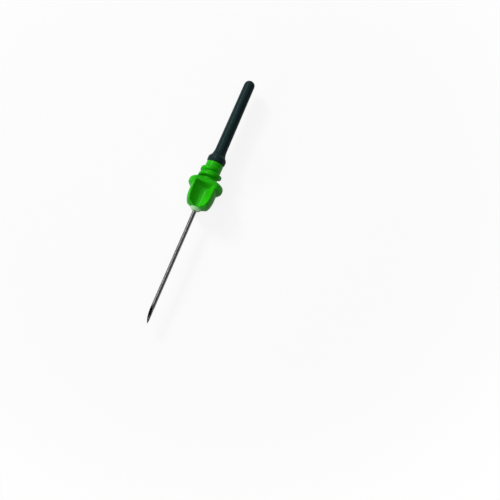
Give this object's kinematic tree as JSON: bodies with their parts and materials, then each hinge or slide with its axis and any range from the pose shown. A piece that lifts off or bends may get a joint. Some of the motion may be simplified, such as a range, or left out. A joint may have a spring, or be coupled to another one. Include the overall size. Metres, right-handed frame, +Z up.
{
  "type": "blood collection needle",
  "caption": "Steel needle pointed at both ends in a threaded plastic hub, with a rubber sleeve over the rear point, for drawing blood into vacuum tubes.",
  "frame": {"origin": "on the needle's axis, at the flange face that seats against the tube holder", "axes": "+X along the needle towards the patient's point, +Z up out of the flat that it lies on"},
  "size_m": [0.0544, 0.007, 0.005],
  "materials": {
    "steel": "satin",
    "green_plastic": "gloss",
    "clear_resin": "gloss",
    "black_rubber": "matte"
  },
  "bodies": {
    "needle": {"cannula": "steel", "hub": "green_plastic", "adhesive": "clear_resin"},
    "sleeve": {"rubber_sleeve": "black_rubber"}
  },
  "joints": [
    {"name": "sleeve_push", "type": "slide", "parent": "needle", "child": "sleeve", "axis": [1, 0, 0], "range_m": [0, 0.0118], "stiffness_N_per_m": 300, "deforming": ["rubber_sleeve"]}
  ]
}
